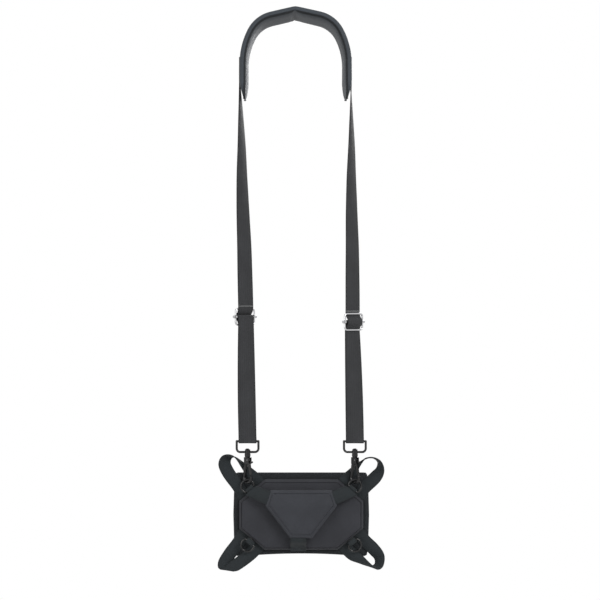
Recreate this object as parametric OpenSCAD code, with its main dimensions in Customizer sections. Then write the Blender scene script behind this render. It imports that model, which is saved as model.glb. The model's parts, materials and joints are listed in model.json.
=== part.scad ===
/* [Collar] */
// Half the straight run on each side of the crown, along the outer face
crown_run = 35; // [25:1:50]
// Slope of the crown on each side
crown_slope = 13; // [8:1:18]
// Radius of the shoulder bend, outer face
shoulder_r = 47; // [38:1:60]
// Radius of the long side bend, outer face
side_r = 100; // [80:1:120]
// Straight length below the side bend
tail_run = 34; // [24:1:50]
// Thickness of the collar with its cover and lining
collar_t = 8; // [6:0.5:12]
// Thickness of the cover and of the lining
skin_t = 1.2; // [0.8:0.1:2]
// Width of the collar, front to back
collar_w = 60; // [45:1:80]
// Width of the tape that binds the collar's edges
binding_w = 3; // [2:0.5:5]

/* [Webbing] */
// Width of the shoulder webbing
web_w = 25; // [20:1:28]
// Thickness of the webbing
web_t = 1.2; // [0.8:0.1:1.6]
// Length of webbing sewn on the collar's side
sewn_run = 38; // [25:1:44]
// Distance from the crown down to the hook loop's top bar
strap_drop = 591; // [520:1:660]
// Distance from the crown down to the left slider
left_slider_drop = 418; // [380:1:440]
// Distance from the crown down to the right slider
right_slider_drop = 425; // [380:1:440]
// Turn of the sliders away from facing front
slider_turn = 35; // [20:1:45]

/* [Slider] */
// Space between the webbing and the slider's side wires, at each side
slider_play = 1.4; // [0.6:0.1:3]
// Outer height of the slider frame
slider_h = 25; // [23:0.5:30]
// Diameter of the slider's wire and centre bar
slider_wire = 2.6; // [2:0.1:3]
// Corner radius of the slider's wire, at its middle
slider_corner = 4; // [3:0.5:6]
// Reach of the centre bar's nubs beyond the slider frame, at each side
bar_reach = 2.5; // [1.5:0.1:4]

/* [Hook] */
// Space between the webbing and the hook loop's side wires, at each side
loop_play = 1; // [0.5:0.1:3]
// Height of the webbing loop, between wire middles
loop_h = 15; // [13:0.5:18]
// Diameter of the loop's wire
loop_wire = 3.2; // [2.6:0.1:3.6]
// Length from the loop's top bar down to the middle of the ring's wire
hook_reach = 53.5; // [50:0.5:60]
// Radius of the hook's bow, at the wire's middle
bow_r = 7; // [6.5:0.1:8]
// Diameter of the hook's bow wire
bow_wire = 4; // [3.4:0.1:4.4]
// Diameter of the swivel shank
shank_d = 4.2; // [3.4:0.1:5]
// Turn of the hook about its swivel at rest
hook_turn = 45; // [35:1:50]
// Diameter of the gate pin
gate_pin_d = 1.6; // [1.2:0.1:2]

/* [Panel] */
// Width of the panel
panel_w = 190; // [180:1:220]
// Height of the panel
panel_h = 117; // [112:1:140]
// Sideways offset of the panel from the collar's middle
carrier_shift = 8; // [-12:1:12]
// Width of the binding tape around the panel
border_w = 7.5; // [5:0.5:9]
// Half width of the padded front at its sides
front_half_w = 86.5; // [84:0.5:87]
// Half height of the padded front at its sides, where its chamfers start
front_side_h = 19; // [15:1:24]
// Half width of the padded front's top and bottom edges
front_top_w = 51; // [46:1:56]
// Half height of the padded front
front_half_h = 49; // [46:0.5:50]
// Thickness of the padded front
front_t = 11; // [9:0.5:12]
// Thickness of the stiffener board
board_t = 1.6; // [1:0.1:3]

/* [Rings and loops] */
// Radius of a D-ring, at the wire's middle
ring_r = 9; // [8.5:0.1:10]
// Diameter of a D-ring's wire
ring_wire = 2.6; // [2.2:0.1:2.8]
// Gap from the padded front's chamfer to a ring's bar
ring_gap = 4.5; // [3.6:0.1:6]
// Width of a ring tab
tab_w = 12; // [10:0.5:12.5]
// Width of the elastic of a corner loop
elastic_w = 18; // [14:0.5:20]
// Thickness of the elastic
elastic_t = 1.4; // [1:0.1:1.8]

/* [Hand pad] */
// Half width of the hand pad at its widest
hand_half_w = 49.5; // [44:0.5:52]
// Half width of the hand pad's top edge
hand_top_w = 42.5; // [38:0.5:44]
// Half width of the hand pad's bottom edge
hand_foot_w = 15; // [12:0.5:20]
// Thickness of the hand pad
hand_t = 8; // [5:0.5:10]
// Space between the panel's front and the hand pad
hand_gap = 8; // [5:0.5:14]

/* [Hidden] */
$fn = 48;

arc_step = 5;            // degrees between the points of a bent outline
run_fit = 0.05;          // radial clearance of a shaft in its bore
soft_gap = 0.3;          // space between soft pieces and moving metal
ply_gap = 0.3;           // space between the two plies of a lower strap
collar_top = collar_t / cos(crown_slope);
slider_w = web_w + 2 * slider_wire + 2 * slider_play;   // over the slider's side wires
slider_bar_len = slider_w + 2 * bar_reach;              // over the centre bar's nubs
loop_w = web_w + loop_wire + 2 * loop_play;             // between the hook loop's side wires' middles
weld = 0.05;                // how far a weld stands out round a ring's wire

// ---- collar outline: [x, z] of the right half at a depth in from the outer face ----
function arc(cx, cz, r, a0, a1) =
    [for (i = [0 : ceil((a1 - a0) / arc_step)])
        let (a = min(a0 + i * arc_step, a1)) [cx + r * sin(a), cz + r * cos(a)]];
bend1 = crown_slope + 50;
p1 = [crown_run * cos(crown_slope), collar_top - crown_run * sin(crown_slope)];
c1 = p1 - shoulder_r * [sin(crown_slope), cos(crown_slope)];
c2 = c1 + (shoulder_r - side_r) * [sin(bend1), cos(bend1)];
function half_outline(d) = concat(
    [[0, collar_top - d / cos(crown_slope)]],
    arc(c1[0], c1[1], shoulder_r - d, crown_slope, bend1),
    arc(c2[0], c2[1], side_r - d, bend1, 90));
collar_x = c2[0] + side_r;                    // half width at the outer face
exit_z = c2[1] - tail_run + 6;                // where the webbing leaves the collar
anchor_z = exit_z + sewn_run;
tip_z = exit_z - 22;
function rev(v) = [for (i = [len(v) - 1 : -1 : 0]) v[i]];
function mir(v) = [for (p = v) [-p[0], p[1]]];
// The ends are cut on a slant, longer inside than outside.
function end_z(d) = exit_z + 2 + (tip_z - exit_z) * min(1, d / (collar_t - 2));
function half_strip(d0, d1) = concat(half_outline(d0), [[collar_x - d0, end_z(d0)],
    [collar_x - d1, end_z(d1)]], rev(half_outline(d1)));
module collar_layer(d0, d1, y0, y1)
    translate([0, y1, 0]) rotate([90, 0, 0]) linear_extrude(y1 - y0)
        for (s = [-1, 1]) polygon(s > 0 ? half_strip(d0, d1) : mir(half_strip(d0, d1)));

module collar_cover() { color("#3a3d44")
    collar_layer(0, skin_t, -collar_w / 2 + binding_w, collar_w / 2 - binding_w); }
module collar_foam() { color("#6b6f76")
    collar_layer(skin_t, collar_t - skin_t, -collar_w / 2 + binding_w, collar_w / 2 - binding_w); }
module collar_lining() { color("#4a5058")
    collar_layer(collar_t - skin_t, collar_t, -collar_w / 2 + binding_w, collar_w / 2 - binding_w); }
module collar_front_binding() { color("#1c2022")
    collar_layer(0, collar_t, -collar_w / 2, -collar_w / 2 + binding_w); }
module collar_back_binding() { color("#1c2022")
    collar_layer(0, collar_t, collar_w / 2 - binding_w, collar_w / 2); }

// ---- band: a flat strip swept through stations [centre, width direction] ----
function unit(v) = v / norm(v);
// A rising run is split the other way, so that two plies folded together share their diagonals.
module band(st, w, t) {
    n = len(st);
    tan = [for (i = [0 : n - 1]) unit(st[min(i + 1, n - 1)][0] - st[max(i - 1, 0)][0])];
    pts = [for (i = [0 : n - 1]) let (u = unit(st[i][1]), m = unit(cross(u, tan[i])))
        for (k = [[-1, -1], [1, -1], [1, 1], [-1, 1]])
            st[i][0] + u * k[0] * w / 2 + m * k[1] * t / 2];
    faces = concat([[0, 2, 1], [0, 3, 2]],
        [for (i = [0 : n - 2]) for (k = [0 : 3]) let (a = 4 * i + k, b = 4 * i + (k + 1) % 4,
            rising = st[i + 1][0][2] > st[i][0][2])
            each (rising ? [[a, b, a + 4], [b, b + 4, a + 4]] : [[a, b + 4, a + 4], [a, b, b + 4]])],
        [let (e = 4 * (n - 1)) each [[e, e + 1, e + 2], [e, e + 2, e + 3]]]);
    polyhedron(pts, faces);
}
// Smooth curve through hand-chosen stations, a few steps between each pair.
function catmull(a, b, c, d, t) = 0.5 * ((2 * b) + (c - a) * t + (2 * a - 5 * b + 4 * c - d) * t * t
    + (3 * b - a - 3 * c + d) * t * t * t);
function smooth(st, k) = let (n = len(st)) concat(
    [for (i = [0 : n - 2]) for (j = [0 : k - 1]) [for (q = [0, 1])
        catmull(st[max(i - 1, 0)][q], st[i][q], st[i + 1][q], st[min(i + 2, n - 1)][q], j / k)]],
    [st[n - 1]]);

// ---- carrier geometry that the straps hang on ----
ring_drop = strap_drop + hook_reach;          // down to the top ring's upper wire
chamfer_mid = [(front_half_w + front_top_w) / 2, (front_side_h + front_half_h) / 2];
chamfer_dir = unit([front_top_w - front_half_w, front_half_h - front_side_h]);
chamfer_out = [chamfer_dir[1], -chamfer_dir[0]];
chamfer_angle = atan2(chamfer_out[1], chamfer_out[0]);
ring_bar_in = ring_r * sin(30);               // from a ring's middle to its bar
ring_at = chamfer_mid + (ring_gap + ring_bar_in) * chamfer_out;
panel_z = -(ring_drop + ring_r) - ring_at[1];
hook_x = ring_at[0];
function side_x(s) = carrier_shift + s * hook_x;
function slider_z(s) = -(s < 0 ? left_slider_drop : right_slider_drop);
function top_x(s) = s * (collar_x + web_t / 2 + soft_gap);
// The slider hangs on the line from the collar's side to the hook.
function slider_x(s) = let (t = (exit_z - slider_z(s)) / (exit_z + strap_drop))
    top_x(s) * (1 - t) + side_x(s) * t;

// ---- upper strap: edge on at the collar, turned to the slider's angle lower down ----
up_n = 20;                                    // steps in an upper strap
top_pass = slider_wire / 2 + web_t / 2 + 0.2; // webbing's middle behind a slider's wire
function turned(a) = [cos(a), sin(a), 0];     // width direction at a turn from facing front
function strap_face(a) = [sin(a), -cos(a), 0];// outer face of the right strap at that turn
module upper_strap(s) {
    z0 = exit_z; z1 = slider_z(s) + slider_h / 2 + 2.5;
    back = -s * top_pass * strap_face(slider_turn);
    free = [for (i = [0 : up_n]) let (t = i / up_n, a = 90 - (90 - slider_turn) * sin(90 * t))
        [[top_x(s), 0, z0] * (1 - t) + ([slider_x(s), 0, z1] + back) * t, turned(a)]];
    sewn = [[[top_x(s), 0, anchor_z], turned(90)], [[top_x(s), 0, z0 + 3], turned(90)]];
    color("#454547") {
        band(concat(sewn, free), web_w, web_t);
        // the webbing's end, folded under where it is sewn
        translate([top_x(s) + s * web_t * 0.75, 0, anchor_z - 2.4]) cube([web_t, web_w - 0.2, 5], center = true);
    }
}
module left_upper_strap() { upper_strap(-1); }
module right_upper_strap() { upper_strap(1); }

// ---- lower strap: through the slider, round the hook loop and back to the centre bar ----
low_n = 10;                                   // steps in each ply
pass_run = 1.72 * slider_wire;                // from a frame wire's middle to where the webbing crosses
wrap_r = slider_wire / 2 + web_t / 2 + 0.15;  // sewn end round the centre bar
over_r = wrap_r + web_t + 0.2;                // outer ply over it
fold_r = loop_wire / 2 + web_t / 2 + 0.2;     // fold round the hook's loop
ply_y = (web_t + ply_gap) / 2;
// Point at a height z, off the strap's middle by d to the outer face, with the turn at that height.
module lower_strap(s) {
    zs = slider_z(s); zh = -strap_drop; h = slider_h / 2 - slider_wire / 2;
    function at(z, d) = let (t = min(1, max(0, (zs - h - z) / (zs - h - zh))),
        a = slider_turn * (1 - t)) [[slider_x(s) * (1 - t) + side_x(s) * t, 0, z]
        + s * d * strap_face(a), turned(a)];
    inner_end = -(top_pass + web_t + 0.2);
    st = concat(
        [at(zs + h + 3.6, -top_pass), at(zs + h, -top_pass), at(zs + h - pass_run, -0.3),
         at(zs + 3, over_r * 0.86), at(zs, over_r), at(zs - 3, over_r * 0.86),
         at(zs - h + pass_run, -0.3), at(zs - h, -top_pass), at(zs - h - 4, -top_pass)],
        [for (i = [1 : low_n]) let (t = i / low_n) at((zs - h - 4) * (1 - t) + (zh + 8) * t,
            -top_pass * (1 - t) + ply_y * t)],
        [for (a = [0 : 30 : 180]) at(zh - fold_r * sin(a), fold_r * cos(a))],
        [for (i = [0 : low_n]) let (t = i / low_n) at((zh + 8) * (1 - t) + (zs - h - 4) * t,
            -ply_y * (1 - t) + inner_end * t)],
        [at(zs - h, inner_end), at(zs - h + pass_run, inner_end + 0.6)],
        [for (a = [-20 : 40 : 180]) at(zs + wrap_r * sin(a), -wrap_r * cos(a))]);
    color("#454547") band(st, web_w, web_t);
}
module left_lower_strap() { lower_strap(-1); }
module right_lower_strap() { lower_strap(1); }

// ---- slider ----
module at_slider(s) translate([slider_x(s), 0, slider_z(s)]) rotate([0, 0, slider_turn]) children();
module bar_x(d, l) rotate([0, 90, 0]) cylinder(d = d, h = l, center = true);
module corner_x(r, wire) rotate([90, 0, 0]) rotate_extrude(angle = 90) translate([r, 0]) circle(d = wire);
module slider_frame(s) {
    hw = slider_w / 2 - slider_wire / 2; hh = slider_h / 2 - slider_wire / 2; r = slider_corner;
    color("#b9bbbf") at_slider(s) difference() {
        union() {
            for (k = [-1, 1]) {
                translate([0, 0, k * hh]) bar_x(slider_wire, 2 * (hw - r));
                translate([k * hw, 0, 0]) cylinder(d = slider_wire, h = 2 * (hh - r), center = true);
                translate([k * hw, 0, 0]) bar_x(slider_wire + 2.2, slider_wire);
                for (m = [-1, 1]) translate([k * (hw - r), 0, m * (hh - r)])
                    mirror([k < 0 ? 1 : 0, 0, 0]) mirror([0, 0, m < 0 ? 1 : 0])
                        corner_x(r, slider_wire);
            }
        }
        bar_x(slider_wire + 2 * run_fit, slider_w + 10);
    }
}
module slider_bar(s) {
    color("#a9abb0") at_slider(s) union() {
        bar_x(slider_wire, slider_bar_len - 3);
        for (k = [-1, 1]) translate([k * (slider_bar_len / 2 - 1.3), 0, 0]) bar_x(slider_wire + 1.2, 2);
    }
}
module left_slider_frame() { slider_frame(-1); }
module right_slider_frame() { slider_frame(1); }
module left_slider_bar() { slider_bar(-1); }
module right_slider_bar() { slider_bar(1); }

// ---- snap hook ----
boss_d = 8;                                   // eye in the loop's lower bar
boss_h = 4.4;
head_d = 7.4;
head_h = 2.6;
collar_z = -loop_h - boss_h / 2 - 0.1;        // top of the hook body, under the eye
bow_z = -hook_reach - ring_wire / 2 - 0.4 - bow_wire / 2 + bow_r;   // middle of the bow
pivot = [2.2, collar_z - 8.5];                // gate pin, in the hook's own plane
module at_hook(s) translate([side_x(s), 0, -strap_drop]) children();
module turned_hook(s) at_hook(s) rotate([0, 0, -hook_turn]) children();
module hook_loop(s) {
    r = 5; hw = loop_w / 2;
    color("#1b1c1e") at_hook(s) difference() {
        union() {
            bar_x(loop_wire, loop_w);
            for (k = [-1, 1]) {
                translate([k * hw, 0, 0]) sphere(d = loop_wire);
                translate([k * hw, 0, -loop_h + r]) cylinder(d = loop_wire, h = loop_h - r);
                translate([k * (hw - r), 0, -loop_h + r]) mirror([k < 0 ? 1 : 0, 0, 0])
                    mirror([0, 0, 1]) corner_x(r, loop_wire);
            }
            translate([0, 0, -loop_h]) bar_x(loop_wire, loop_w - 2 * r);
            translate([0, 0, -loop_h]) cylinder(d = boss_d, h = boss_h, center = true);
        }
        translate([0, 0, -loop_h]) cylinder(d = shank_d + 2 * run_fit, h = boss_h + 2, center = true);
    }
}
module swivel_rivet(s) {
    color("#2a2b2e") at_hook(s) union() {
        translate([0, 0, collar_z]) cylinder(d = shank_d, h = boss_h + 0.4);
        translate([0, 0, -loop_h + boss_h / 2 + 0.1]) cylinder(d = head_d, h = head_h * 0.5);
        translate([0, 0, -loop_h + boss_h / 2 + 0.1 + head_h * 0.5])
            cylinder(d1 = head_d, d2 = head_d * 0.5, h = head_h * 0.5);
    }
}
module hook_body(s) {
    neck_z = collar_z - 14;
    color("#26282b") turned_hook(s) difference() {
        union() {
            translate([0, 0, collar_z - 3]) cylinder(d = 8.4, h = 3);
            translate([0, 0, collar_z - 5]) cylinder(d1 = 7, d2 = 8.4, h = 2);
            translate([-4.4, -3, neck_z]) cube([9.4, 6, collar_z - 5 - neck_z]);
            // tapered spine from the neck to the bow
            translate([-2.6, 0, neck_z + 1]) rotate([0, atan2(bow_r - 2.6, neck_z + 1 - bow_z) + 180, 0])
                cylinder(r1 = 2.8, r2 = bow_wire / 2,
                    h = norm([bow_r - 2.6, neck_z + 1 - bow_z]));
            translate([0, 0, bow_z]) rotate([90, 0, 0]) rotate([0, 0, 180])
                rotate_extrude(angle = 180) translate([bow_r, 0]) circle(d = bow_wire);
            translate([-bow_r, 0, bow_z]) sphere(d = bow_wire);
            translate([bow_r, 0, bow_z]) cylinder(d = bow_wire, h = 2.4);
        }
        // slot for the gate, open towards the throat, and the gate pin's bore
        translate([-1.6, -1.6, neck_z - 1]) cube([8, 3.2, collar_z - 6 - neck_z + 1]);
        translate([pivot[0], 0, pivot[1]]) rotate([90, 0, 0])
            cylinder(d = gate_pin_d, h = 8, center = true);
    }
}
gate_foot = [bow_r - 0.4, bow_z + 3.1];       // lower end of the closed gate, over the nose
module hook_gate(s) {
    color("#202124") turned_hook(s) difference() {
        union() {
            rotate([90, 0, 0]) linear_extrude(2.4, center = true) hull() {
                translate([pivot[0], pivot[1]]) circle(r = 2.2, $fn = 32);
                translate([gate_foot[0], gate_foot[1] + 1.3]) circle(r = 1.2, $fn = 24);
            }
            rotate([90, 0, 0]) linear_extrude(2.4, center = true) hull() {
                translate([pivot[0] + 1, pivot[1] - 2]) circle(r = 1.2, $fn = 24);
                translate([pivot[0] + 6.3, pivot[1] - 2.6]) circle(r = 1.4, $fn = 24);
            }
        }
        translate([pivot[0], 0, pivot[1]]) rotate([90, 0, 0])
            cylinder(d = gate_pin_d + 2 * run_fit, h = 8, center = true);
    }
}
module gate_pin(s) { color("#8a8c90") turned_hook(s)
    translate([pivot[0], 0, pivot[1]]) rotate([90, 0, 0])
        cylinder(d = gate_pin_d, h = 6.4, center = true); }
// The spring's coil sits in the slot, between the spine and the gate.
module gate_spring(s) { color("#9a9ca0") turned_hook(s)
    translate([-0.4, 0, pivot[1] - 3.8]) rotate([90, 0, 0]) difference() {
        cylinder(d = 2.2, h = 2.4, center = true);
        cylinder(d = 1.2, h = 4, center = true);
    } }
module left_hook_loop() { hook_loop(-1); }
module right_hook_loop() { hook_loop(1); }
module left_swivel_rivet() { swivel_rivet(-1); }
module right_swivel_rivet() { swivel_rivet(1); }
module left_hook_body() { hook_body(-1); }
module right_hook_body() { hook_body(1); }
module left_hook_gate() { hook_gate(-1); }
module right_hook_gate() { hook_gate(1); }
module left_gate_pin() { gate_pin(-1); }
module right_gate_pin() { gate_pin(1); }
module left_gate_spring() { gate_spring(-1); }
module right_gate_spring() { gate_spring(1); }

// ---- panel, front towards -Y ----
base_y = 10.4;                                // front face of the panel's flat base
bulge = 3;                                    // how far the panel's sides swell
module at_panel() translate([carrier_shift, 0, panel_z]) children();
module slab(y0, y1) at_panel() translate([0, y1, 0]) rotate([90, 0, 0])
    linear_extrude(y1 - y0) children();
function octagon(d) = let (a = front_half_w - d, b = front_side_h, c = front_top_w, e = front_half_h - d)
    [[a, -b], [a, b], [c, e], [-c, e], [-a, b], [-a, -b], [-c, -e], [c, -e]];
module panel_outline(d) { hw = panel_w / 2 - d; hh = panel_h / 2 - d;
    polygon([for (k = [0 : 3]) let (sx = k == 0 || k == 3 ? 1 : -1, sy = k < 2 ? 1 : -1)
        each (k % 2 == 0 ? [[sx * hw, 0], [sx * (hw - 1), sy * hh * 0.6], [sx * (hw - bulge), sy * hh]]
            : [[sx * (hw - bulge), sy * hh], [sx * (hw - 1), sy * hh * 0.6]])]); }
front_skin = 1;
module panel_front_cover() { color("#3c3d42") difference() {
    slab(base_y - front_t, base_y) polygon(octagon(0));
    slab(base_y - front_t + front_skin, base_y + 1) polygon(octagon(front_skin)); } }
module panel_foam() { color("#777a80")
    slab(base_y - front_t + front_skin, base_y) polygon(octagon(front_skin)); }
module panel_board() { color("#55585c") slab(base_y, base_y + board_t) panel_outline(border_w); }
module panel_back_lining() { color("#303236")
    slab(base_y + board_t, base_y + board_t + skin_t) panel_outline(border_w); }
module panel_binding() { color("#23292b") slab(base_y, base_y + board_t + skin_t) difference() {
    panel_outline(0); panel_outline(border_w); } }

// ---- rings, tabs and corner loops; sx and sy give the corner ----
module at_corner(sx, sy) at_panel() translate([sx * ring_at[0], 0, sy * ring_at[1]]) children();
function corner_turn(sx, sy) = sy > 0 ? (sx > 0 ? 90 - chamfer_angle : chamfer_angle - 90)
    : (sx > 0 ? 90 + chamfer_angle : -90 - chamfer_angle);
module d_ring(sx, sy) {
    color("#2b2d30") at_corner(sx, sy) rotate([0, corner_turn(sx, sy), 0]) union() {
        rotate([90, 0, 0]) rotate([0, 0, -30]) rotate_extrude(angle = 240)
            translate([ring_r, 0]) circle(d = ring_wire);
        translate([0, 0, -ring_bar_in]) bar_x(ring_wire, 2 * ring_r * cos(30));
        for (k = [-1, 1]) translate([k * ring_r * cos(30), 0, -ring_bar_in]) sphere(d = ring_wire + 2 * weld);
    }
}
tab_r = ring_wire / 2 + web_t / 2 + soft_gap; // tab's middle round the ring's bar
// A tab's plies run from the ring's bar to the padded front's chamfer.
module ring_tab(sx, sy) {
    end = -ring_bar_in - ring_gap + 0.45;
    st = concat([[[0, tab_r + 1, end], [1, 0, 0]]],
        [for (a = [0 : 30 : 180]) [[0, tab_r * cos(a), -ring_bar_in + tab_r * sin(a)], [1, 0, 0]]],
        [[[0, -tab_r + 1.8, end], [1, 0, 0]]]);
    color("#2c3335") at_corner(sx, sy) rotate([0, corner_turn(sx, sy), 0]) band(st, tab_w, web_t);
}
module top_left_ring() { d_ring(-1, 1); }
module top_right_ring() { d_ring(1, 1); }
module bottom_left_ring() { d_ring(-1, -1); }
module bottom_right_ring() { d_ring(1, -1); }
module top_left_tab() { ring_tab(-1, 1); }
module top_right_tab() { ring_tab(1, 1); }
module bottom_left_tab() { ring_tab(-1, -1); }
module bottom_right_tab() { ring_tab(1, -1); }

// A corner loop's two legs come out from under the chamfer, behind the ring, and meet at a fold.
// Its stations are [out, up, forward of the base, turn of the width, lean forward].
function leg_root(k) = chamfer_mid + k * (elastic_w * 0.75) * chamfer_dir + 0.4 * chamfer_out;
root_turn = chamfer_angle - 90;
side_leg = concat(leg_root(-1), [0.8, root_turn, 0]);
end_leg = concat(leg_root(1), [0.8, root_turn, 0]);
top_left_route = [side_leg, [90, 42, 0.8, -46, 0], [101, 57, 1.0, -38, 0], [107, 70, 1.4, -20, 0],
    [104, 80, 3.4, 8, 30], [96, 82, 5.2, 30, 50], [86, 76, 4.6, 36, 40], [74, 63, 1.6, 8, 6], end_leg];
top_right_route = [side_leg, [90, 39, 1.6, -48, 0], [103, 52, 4.6, -44, 20], [110, 63, 6, -20, 52],
    [109, 74, 7, 20, 74], [100, 80, 7.6, 60, 80], [88, 78, 7, 72, 76], [75, 66, 1.6, 20, 4], end_leg];
bottom_left_route = [side_leg, [89, 41, 0.8, -40, 0], [99, 54, 1.0, -34, 0], [107, 67, 2.0, -20, 0],
    [107, 75, 4.4, -8, 0], [101, 76.5, 6.4, -12, 0], [91, 70, 6.0, -34, 0], [72, 56, 3.0, -44, 0], end_leg];
bottom_right_route = [side_leg, [90, 38, 1.4, -52, 0], [101, 48, 3.4, -50, 8], [109, 59, 3.6, -30, 30],
    [108, 70, 5.4, 0, 50], [100, 73, 6.8, 10, 50], [88, 67, 5.4, -10, 34], [72, 56, 3.0, -40, 6], end_leg];
function stations(v, sx, sy) = [for (p = v) [[sx * p[0], base_y - p[2], sy * p[1]],
    [cos(p[3]) * cos(p[4]) * sx, -sin(p[4]), sin(p[3]) * cos(p[4]) * sy]]];
module corner_loop(route, sx, sy) { color("#2a3236") at_panel()
    band(smooth(stations(route, sx, sy), 3), elastic_w, elastic_t); }
module top_left_loop() { corner_loop(top_left_route, -1, 1); }
module top_right_loop() { corner_loop(top_right_route, 1, 1); }
module bottom_left_loop() { corner_loop(bottom_left_route, -1, -1); }
module bottom_right_loop() { corner_loop(bottom_right_route, 1, -1); }

// ---- hand pad ----
hand_y1 = base_y - front_t - hand_gap;        // back face of the hand pad
hand_y0 = hand_y1 - hand_t;
hand_top = 37;
hand_side = 16;
hand_foot = -29;
function hand_outline(d) = [[hand_top_w - d, hand_top - d], [hand_half_w - d, hand_side],
    [hand_foot_w - d / 2, hand_foot + d], [-hand_foot_w + d / 2, hand_foot + d],
    [-hand_half_w + d, hand_side], [-hand_top_w + d, hand_top - d]];
module hand_pad_cover() { color("#3f4046") difference() {
    slab(hand_y0, hand_y1 - skin_t) polygon(hand_outline(0));
    slab(hand_y0 + skin_t, hand_y1) polygon(hand_outline(skin_t)); } }
module hand_pad_foam() { color("#777a80")
    slab(hand_y0 + skin_t, hand_y1 - skin_t) polygon(hand_outline(skin_t)); }
module hand_pad_lining() { color("#33363a")
    slab(hand_y1 - skin_t, hand_y1) polygon(hand_outline(0)); }
foot_tab_w = 22;
arm_w = 20;
module hand_pad_foot_tab() {
    mid = (hand_y0 + hand_y1) / 2; end = base_y - front_t - web_t / 2 - 0.3;
    color("#2c3335") at_panel() band(smooth([for (p = [[mid, hand_foot - 0.15], [mid + 0.6, hand_foot - 5],
        [end - 3, hand_foot - 12], [end, hand_foot - 15.5], [end, hand_foot - 19.5]])
        [[-4, p[0], p[1]], [1, 0, 0]]], 3), foot_tab_w, web_t);
}
// An arm runs from the hand pad's slanted side to the outside of the ring's tab.
module hand_arm(s) {
    y0 = (hand_y0 + hand_y1) / 2; y1 = -tab_r - web_t - 0.25;
    side_mid = [(hand_top_w + hand_half_w) / 2 + 0.8, (hand_top + hand_side) / 2];
    over = ring_at - (ring_bar_in + 2.6) * chamfer_out;
    turn = 90 - chamfer_angle;
    color("#2c3335") at_panel() band(smooth([
        [[s * side_mid[0], y0, side_mid[1]], [-s * 0.32, 0, 1]],
        [[s * (side_mid[0] * 0.72 + over[0] * 0.28), y0 + 2, side_mid[1] * 0.7 + over[1] * 0.3], [-s * 0.45, 0, 1]],
        [[s * (side_mid[0] * 0.35 + over[0] * 0.65), y0 + 8, side_mid[1] * 0.35 + over[1] * 0.65], [-s * 0.7, 0, 1]],
        [[s * over[0], y1, over[1]], [-s * sin(90 - turn), 0, cos(90 - turn)]]], 4), 15, web_t);
}
module left_hand_arm() { hand_arm(-1); }
module right_hand_arm() { hand_arm(1); }

collar_cover();
collar_foam();
collar_lining();
collar_front_binding();
collar_back_binding();
left_upper_strap();
right_upper_strap();
left_lower_strap();
right_lower_strap();
left_slider_frame();
right_slider_frame();
left_slider_bar();
right_slider_bar();
left_hook_loop();
right_hook_loop();
left_swivel_rivet();
right_swivel_rivet();
left_hook_body();
right_hook_body();
left_hook_gate();
right_hook_gate();
left_gate_pin();
right_gate_pin();
left_gate_spring();
right_gate_spring();
panel_front_cover();
panel_foam();
panel_board();
panel_back_lining();
panel_binding();
top_left_ring();
top_right_ring();
bottom_left_ring();
bottom_right_ring();
top_left_tab();
top_right_tab();
bottom_left_tab();
bottom_right_tab();
top_left_loop();
top_right_loop();
bottom_left_loop();
bottom_right_loop();
hand_pad_cover();
hand_pad_foam();
hand_pad_lining();
hand_pad_foot_tab();
left_hand_arm();
right_hand_arm();
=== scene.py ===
# %% [markdown]
# # Neck strap with a padded carrier panel
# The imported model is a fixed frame: every body, joint and hard part is already in it. This lesson
# dresses it. Hard parts keep their own meshes and get a better finish. Each soft part is made again
# as cloth, webbing or padding, in metres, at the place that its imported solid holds.

# %% Load the frame
import bpy
import json
import math
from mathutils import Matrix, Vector


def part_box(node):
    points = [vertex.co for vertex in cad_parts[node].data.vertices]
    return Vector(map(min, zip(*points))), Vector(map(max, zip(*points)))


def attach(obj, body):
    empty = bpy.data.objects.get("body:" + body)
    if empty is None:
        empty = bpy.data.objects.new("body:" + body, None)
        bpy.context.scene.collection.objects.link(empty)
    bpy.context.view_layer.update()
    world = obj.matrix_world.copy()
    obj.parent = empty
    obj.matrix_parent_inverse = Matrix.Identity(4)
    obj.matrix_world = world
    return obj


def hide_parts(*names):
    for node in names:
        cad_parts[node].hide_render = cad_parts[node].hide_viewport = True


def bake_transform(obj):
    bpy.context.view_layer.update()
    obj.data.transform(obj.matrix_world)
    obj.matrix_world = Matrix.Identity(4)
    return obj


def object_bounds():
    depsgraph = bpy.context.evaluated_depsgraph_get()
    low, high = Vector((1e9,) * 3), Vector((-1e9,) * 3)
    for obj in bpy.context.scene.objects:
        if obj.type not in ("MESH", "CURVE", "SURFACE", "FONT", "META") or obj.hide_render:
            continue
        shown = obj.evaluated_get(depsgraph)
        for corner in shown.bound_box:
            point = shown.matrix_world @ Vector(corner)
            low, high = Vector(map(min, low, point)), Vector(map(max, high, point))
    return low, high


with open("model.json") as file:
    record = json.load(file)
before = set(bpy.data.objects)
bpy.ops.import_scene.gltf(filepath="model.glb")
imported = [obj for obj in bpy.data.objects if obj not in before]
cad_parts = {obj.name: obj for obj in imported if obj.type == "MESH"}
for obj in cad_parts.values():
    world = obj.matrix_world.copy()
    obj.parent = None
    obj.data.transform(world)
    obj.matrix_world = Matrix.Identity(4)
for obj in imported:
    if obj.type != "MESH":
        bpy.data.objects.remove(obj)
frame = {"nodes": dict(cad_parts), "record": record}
cad_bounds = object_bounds()
scene = bpy.context.scene
bpy.ops.object.select_all(action="DESELECT")

# %% [markdown]
# ## Camera
# The strap hangs and is seen square on, from about 1.7 m, with the camera level with its middle. At
# that distance the collar's inner face shows as a thin band, because the camera looks up at it.

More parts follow.
